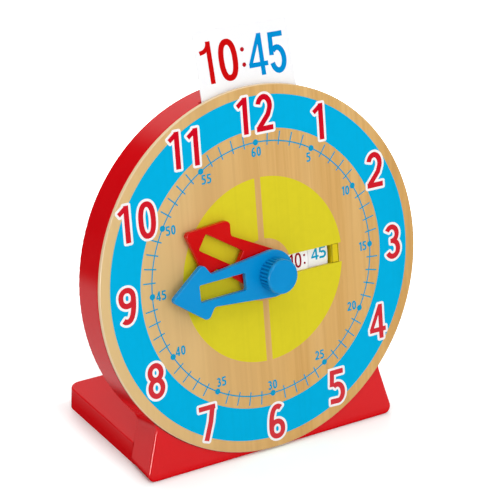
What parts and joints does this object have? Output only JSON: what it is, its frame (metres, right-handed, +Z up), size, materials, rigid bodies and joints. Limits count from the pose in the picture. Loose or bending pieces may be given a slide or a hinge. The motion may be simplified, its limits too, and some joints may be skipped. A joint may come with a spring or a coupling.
{
  "type": "geared teaching clock",
  "caption": "Leaning round teaching clock on a stand: a knob turns geared hour and minute hands, number discs behind a window follow, and a time card stands in a top slot.",
  "frame": {"origin": "on the floor, at the middle of the base plate's underside", "axes": "+Z up, -Y towards the viewer who reads the dial, +X to that viewer's right; the dial leans back 12 degrees towards +Y"},
  "size_m": [0.2884, 0.1418, 0.3261],
  "materials": {
    "red_board": "glossy red paint on fibreboard",
    "wood_veneer": "satin pale veneer with printed rings and numbers",
    "dowel_wood": "bare beech",
    "hardboard": "bare hardboard",
    "yellow_plastic": "moulded yellow plastic",
    "blue_plastic": "moulded blue plastic, satin",
    "red_plastic": "moulded red plastic, satin",
    "white_plastic": "white plastic sheet with printed numbers",
    "gear_plastic": "moulded natural acetal",
    "nylon": "grey nylon",
    "steel": "zinc-plated steel",
    "plate_metal": "brushed aluminium sheet",
    "card_stock": "white laminated card with printed digits"
  },
  "bodies": {
    "case": {"body_frame": "red_board", "base_plate": "red_board", "base_dowels": "dowel_wood", "dial_board": "wood_veneer", "hour_bush": "gear_plastic", "movement_tray": "yellow_plastic", "tray_screws": "steel", "gear_plate": "plate_metal", "gear_plate_screws": "steel", "cluster_stud": "steel", "stud_clip": "steel", "shaft_bush": "gear_plastic", "back_cover": "hardboard", "back_cover_screws": "steel"},
    "minute_group": {"knob": "blue_plastic", "minute_hand": "blue_plastic", "minute_shaft": "steel", "shaft_pinion": "gear_plastic", "friction_washer": "nylon", "shaft_washer": "steel", "shaft_screw": "steel"},
    "hour_group": {"hour_hand": "red_plastic", "hour_sleeve": "gear_plastic", "hour_disc": "white_plastic", "hour_wheel": "gear_plastic"},
    "minute_disc_group": {"minute_disc": "white_plastic", "minute_disc_gear": "gear_plastic"},
    "gear_cluster": {"cluster_wheel_front": "gear_plastic", "cluster_pinion": "gear_plastic", "cluster_wheel_rear": "gear_plastic"},
    "card": {"time_card": "card_stock"}
  },
  "joints": [
    {"name": "minute_turn", "type": "hinge", "parent": "case", "child": "minute_group", "pos_m": [0, -0.0577, 0.14294], "axis": [0, 0.9781, -0.2079], "continuous": true},
    {"name": "hour_turn", "type": "hinge", "parent": "case", "child": "hour_group", "pos_m": [0, -0.0577, 0.14294], "axis": [0, 0.9781, -0.2079], "continuous": true},
    {"name": "minute_disc_turn", "type": "hinge", "parent": "case", "child": "minute_disc_group", "pos_m": [0, -0.0577, 0.14294], "axis": [0, 0.9781, -0.2079], "continuous": true},
    {"name": "cluster_turn", "type": "hinge", "parent": "case", "child": "gear_cluster", "pos_m": [0, -0.0522, 0.1111], "axis": [0, 0.9781, -0.2079], "continuous": true},
    {"name": "card_lift", "type": "slide", "parent": "case", "child": "card", "axis": [0, 0.3535, 0.9354], "range_m": [0, 0.02]}
  ],
  "couplings": [
    {"joint": "hour_turn", "follows": "minute_turn", "ratio": 0.083333},
    {"joint": "minute_disc_turn", "follows": "minute_turn", "ratio": 1},
    {"joint": "cluster_turn", "follows": "minute_turn", "ratio": -0.33333}
  ]
}
